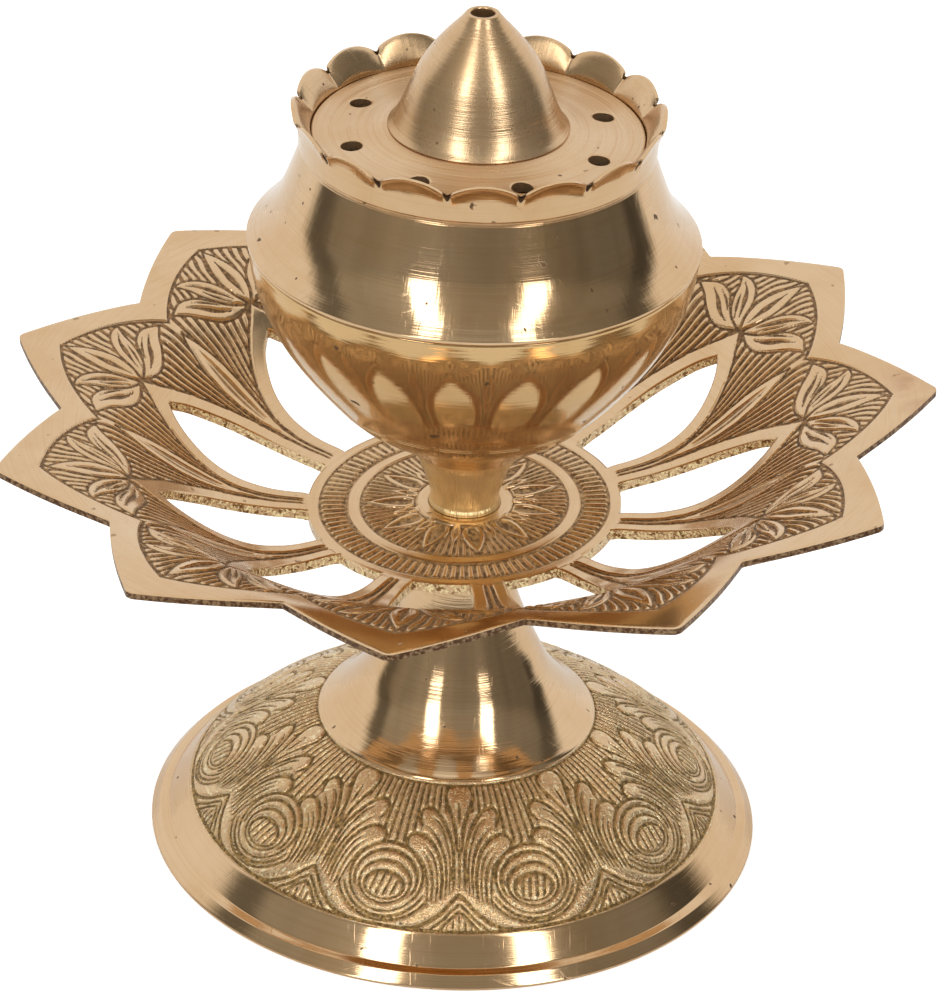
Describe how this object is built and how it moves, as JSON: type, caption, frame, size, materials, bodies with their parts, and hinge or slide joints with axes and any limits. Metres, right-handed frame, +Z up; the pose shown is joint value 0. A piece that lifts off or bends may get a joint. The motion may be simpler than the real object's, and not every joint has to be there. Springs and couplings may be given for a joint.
{
  "type": "lotus incense burner",
  "caption": "Table-top lotus incense burner: hollow pedestal foot, pierced petal tray, lidded pot with scalloped lip, stick holes and a hollow vent cone.",
  "frame": {"origin": "centre of the foot's resting plane, on the turned axis of the burner", "axes": "+Z up along the turned axis; +X towards one petal of the tray, to within about one degree; +Y completes the right-handed set"},
  "size_m": [0.125, 0.1259, 0.1232],
  "materials": {
    "cast_brass": "engraved cast brass, polished on the high surfaces, dark patina in the engraving",
    "turned_brass": "lathe-turned and polished brass",
    "fastener_brass": "plain machined brass"
  },
  "bodies": {
    "base": {"pedestal_foot": "cast_brass", "petal_tray": "cast_brass", "bowl_stem": "turned_brass", "lower_bowl": "turned_brass", "tie_rod": "fastener_brass", "bowl_nut": "fastener_brass", "bowl_washer": "fastener_brass", "foot_nut": "fastener_brass", "foot_washer": "fastener_brass"},
    "pot_top": {"pot_collar": "turned_brass"},
    "lid": {"lid_plate": "turned_brass", "vent_cone": "turned_brass"}
  },
  "joints": [
    {"name": "pot_top_lift", "type": "slide", "parent": "base", "child": "pot_top", "axis": [0, 0, 1], "range_m": [0, 0.04]},
    {"name": "lid_lift", "type": "slide", "parent": "pot_top", "child": "lid", "axis": [0, 0, 1], "range_m": [0, 0.03]}
  ]
}
